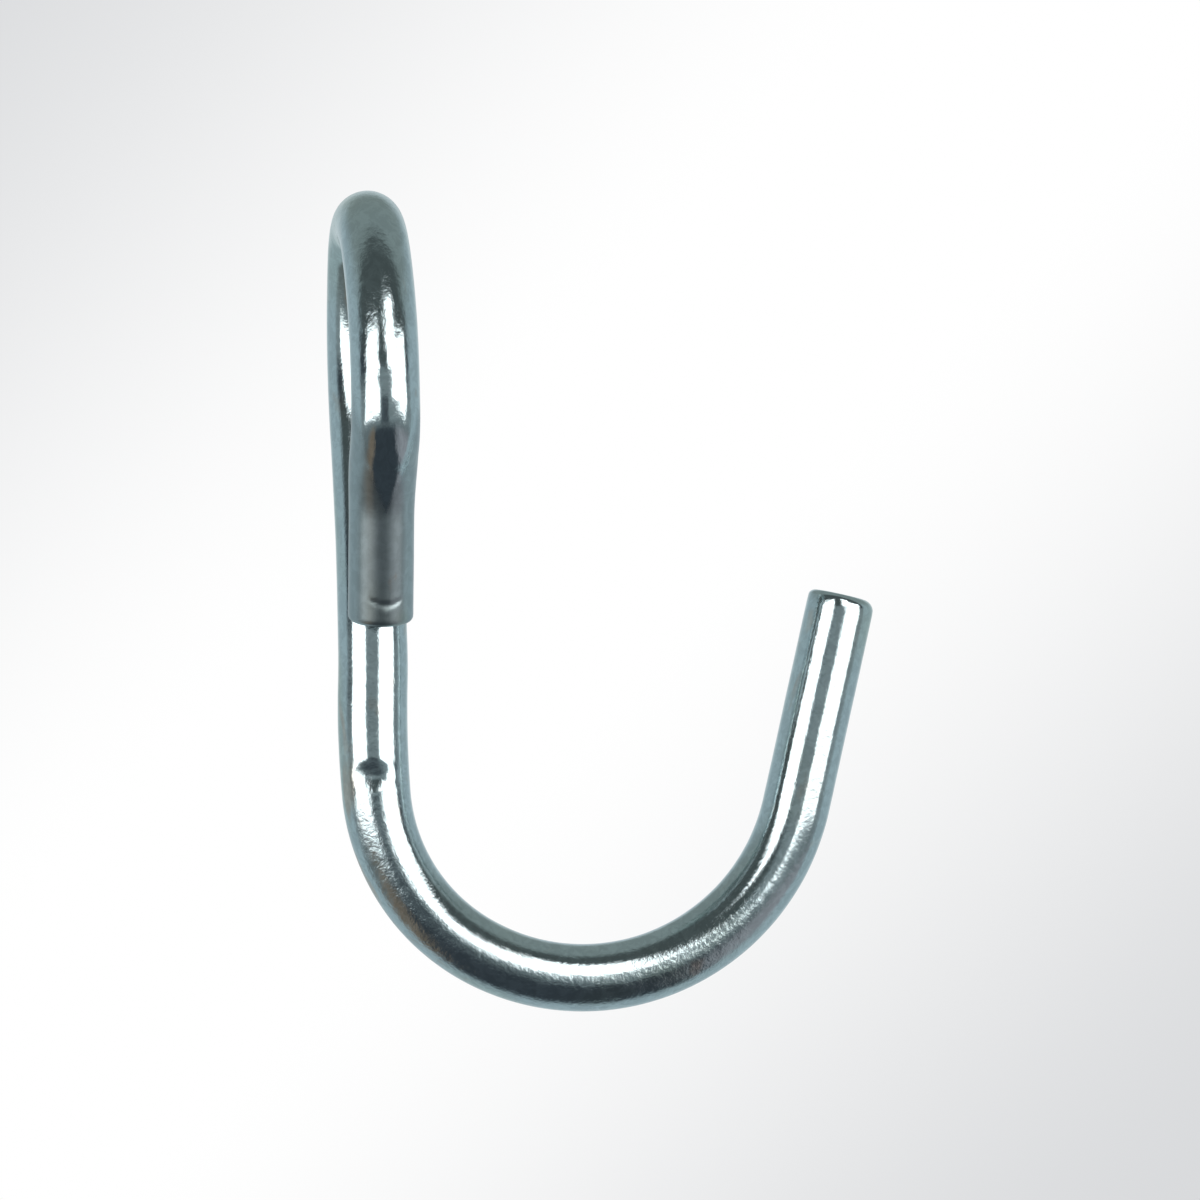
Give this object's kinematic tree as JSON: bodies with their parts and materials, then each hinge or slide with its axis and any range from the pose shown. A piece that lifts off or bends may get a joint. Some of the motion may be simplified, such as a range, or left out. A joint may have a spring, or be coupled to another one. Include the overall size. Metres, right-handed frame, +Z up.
{
  "type": "hanging hook",
  "caption": "Zinc-plated round steel hook: open J with a blunt tip, straight shank and a closed teardrop eye turned a quarter turn to the J.",
  "frame": {"origin": "inside crown of the eye, where the hook hangs", "axes": "+Z up along the shank, +X from the shank towards the tip, free end of the eye on the -Y side"},
  "size_m": [0.0644, 0.0305, 0.0975],
  "materials": {
    "zinc_plated_steel": "bright blue-white zinc plating on drawn steel rod, with fine draw marks and small tool marks"
  },
  "bodies": {
    "root": {"hook_rod": "zinc_plated_steel"}
  },
  "joints": []
}
